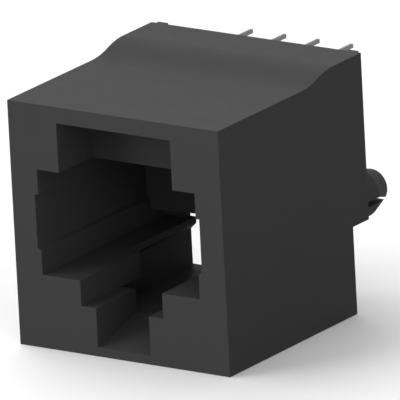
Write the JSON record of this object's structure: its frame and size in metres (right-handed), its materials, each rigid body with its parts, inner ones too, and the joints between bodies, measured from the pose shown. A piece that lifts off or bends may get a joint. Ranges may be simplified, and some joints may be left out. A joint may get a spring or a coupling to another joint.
{
  "type": "modular jack for a circuit board",
  "caption": "Unshielded black modular jack for a circuit board, with a stepped plug opening and latch keyway, spring contacts, staggered solder tails and split locating posts.",
  "frame": {"origin": "bottom centre of the bounding box, on the latch-side face that the jack lies on, as pictured", "axes": "+Y from the plug opening to the board side, along the solder tails; +Z from the latch side to the contact side; +X to the right of someone who looks into the plug opening"},
  "size_m": [0.0158, 0.0202, 0.0167],
  "materials": {
    "housing": "moulded, fine matt",
    "insert": "moulded, fine matt",
    "contact": "tin-plated bronze strip, satin"
  },
  "bodies": {
    "root": {"housing": "housing", "contact_insert": "insert", "contact_1": "contact", "contact_2": "contact", "contact_3": "contact", "contact_4": "contact", "contact_5": "contact", "contact_6": "contact", "contact_7": "contact", "contact_8": "contact"}
  },
  "joints": []
}
